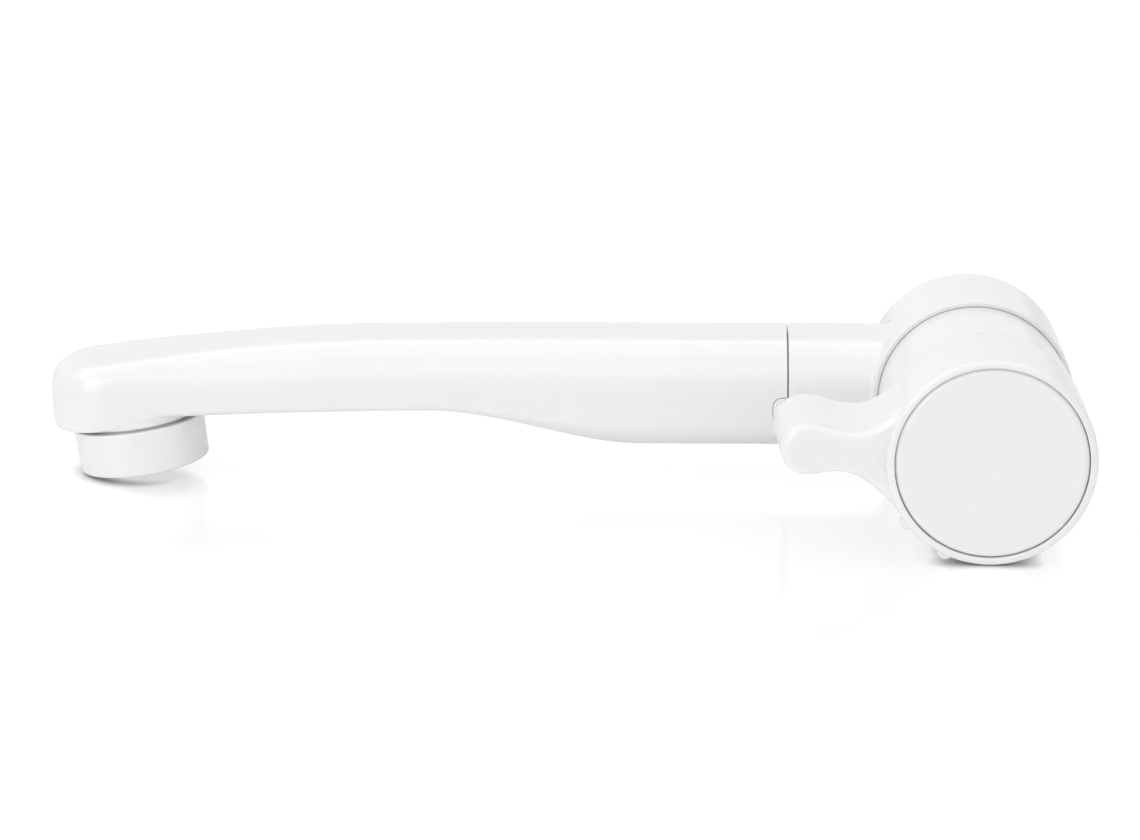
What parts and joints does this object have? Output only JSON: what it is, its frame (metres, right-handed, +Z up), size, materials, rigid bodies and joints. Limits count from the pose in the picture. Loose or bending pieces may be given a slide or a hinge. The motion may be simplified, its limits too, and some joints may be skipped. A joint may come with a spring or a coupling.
{
  "type": "mixer tap",
  "caption": "Wall-fixed single-lever mixer tap: horizontal drum with waved lever and flat cap, side neck with a long turning spout and a round nozzle under its nose.",
  "frame": {"origin": "centre of the wall plane, on the drum's axis", "axes": "+Y along the drum's axis into the wall (the cap faces -Y), the spout runs towards -X, +Z up, so the nozzle points down"},
  "size_m": [0.2083, 0.1215, 0.0406],
  "materials": {
    "white_plastic": "glossy moulded white",
    "brass": "machined",
    "rubber": "matt black",
    "steel": "fine brushed",
    "disc_ceramic": "lapped",
    "grey_plastic": "matt moulded"
  },
  "bodies": {
    "base": {"core": "brass", "wall_gasket": "rubber", "backing_gasket": "rubber", "backing_washer": "steel", "fixing_nut": "brass", "cold_tail": "brass", "hot_tail": "brass", "swivel_seals": "rubber", "port_seals": "rubber", "cartridge_base": "grey_plastic", "fixed_disc": "disc_ceramic", "cartridge_shell": "grey_plastic", "spindle_seal": "rubber", "cartridge_nut": "grey_plastic", "collar": "white_plastic", "collar_nut": "brass", "slip_ring": "grey_plastic"},
    "swivel": {"swivel_body": "white_plastic", "spigot": "brass", "spout_seals": "rubber", "spout_clip": "steel"},
    "spout": {"spout_arm": "white_plastic", "nozzle": "white_plastic", "nozzle_seal": "rubber", "jet_screen": "steel", "jet_insert": "grey_plastic"},
    "handle": {"handle": "white_plastic", "handle_cap": "white_plastic", "handle_screw": "steel", "spindle": "brass", "moving_disc": "disc_ceramic"}
  },
  "joints": [
    {"name": "handle_turn", "type": "hinge", "parent": "base", "child": "handle", "pos_m": [0, 0, 0], "axis": [0, 1, 0], "range_deg": [0, 95]},
    {"name": "body_swivel", "type": "hinge", "parent": "base", "child": "swivel", "pos_m": [0, 0, 0], "axis": [0, 1, 0], "range_deg": [-90, 90]},
    {"name": "spout_turn", "type": "hinge", "parent": "swivel", "child": "spout", "pos_m": [0, -0.0139, 0], "axis": [1, 0, 0], "range_deg": [-90, 90]}
  ]
}
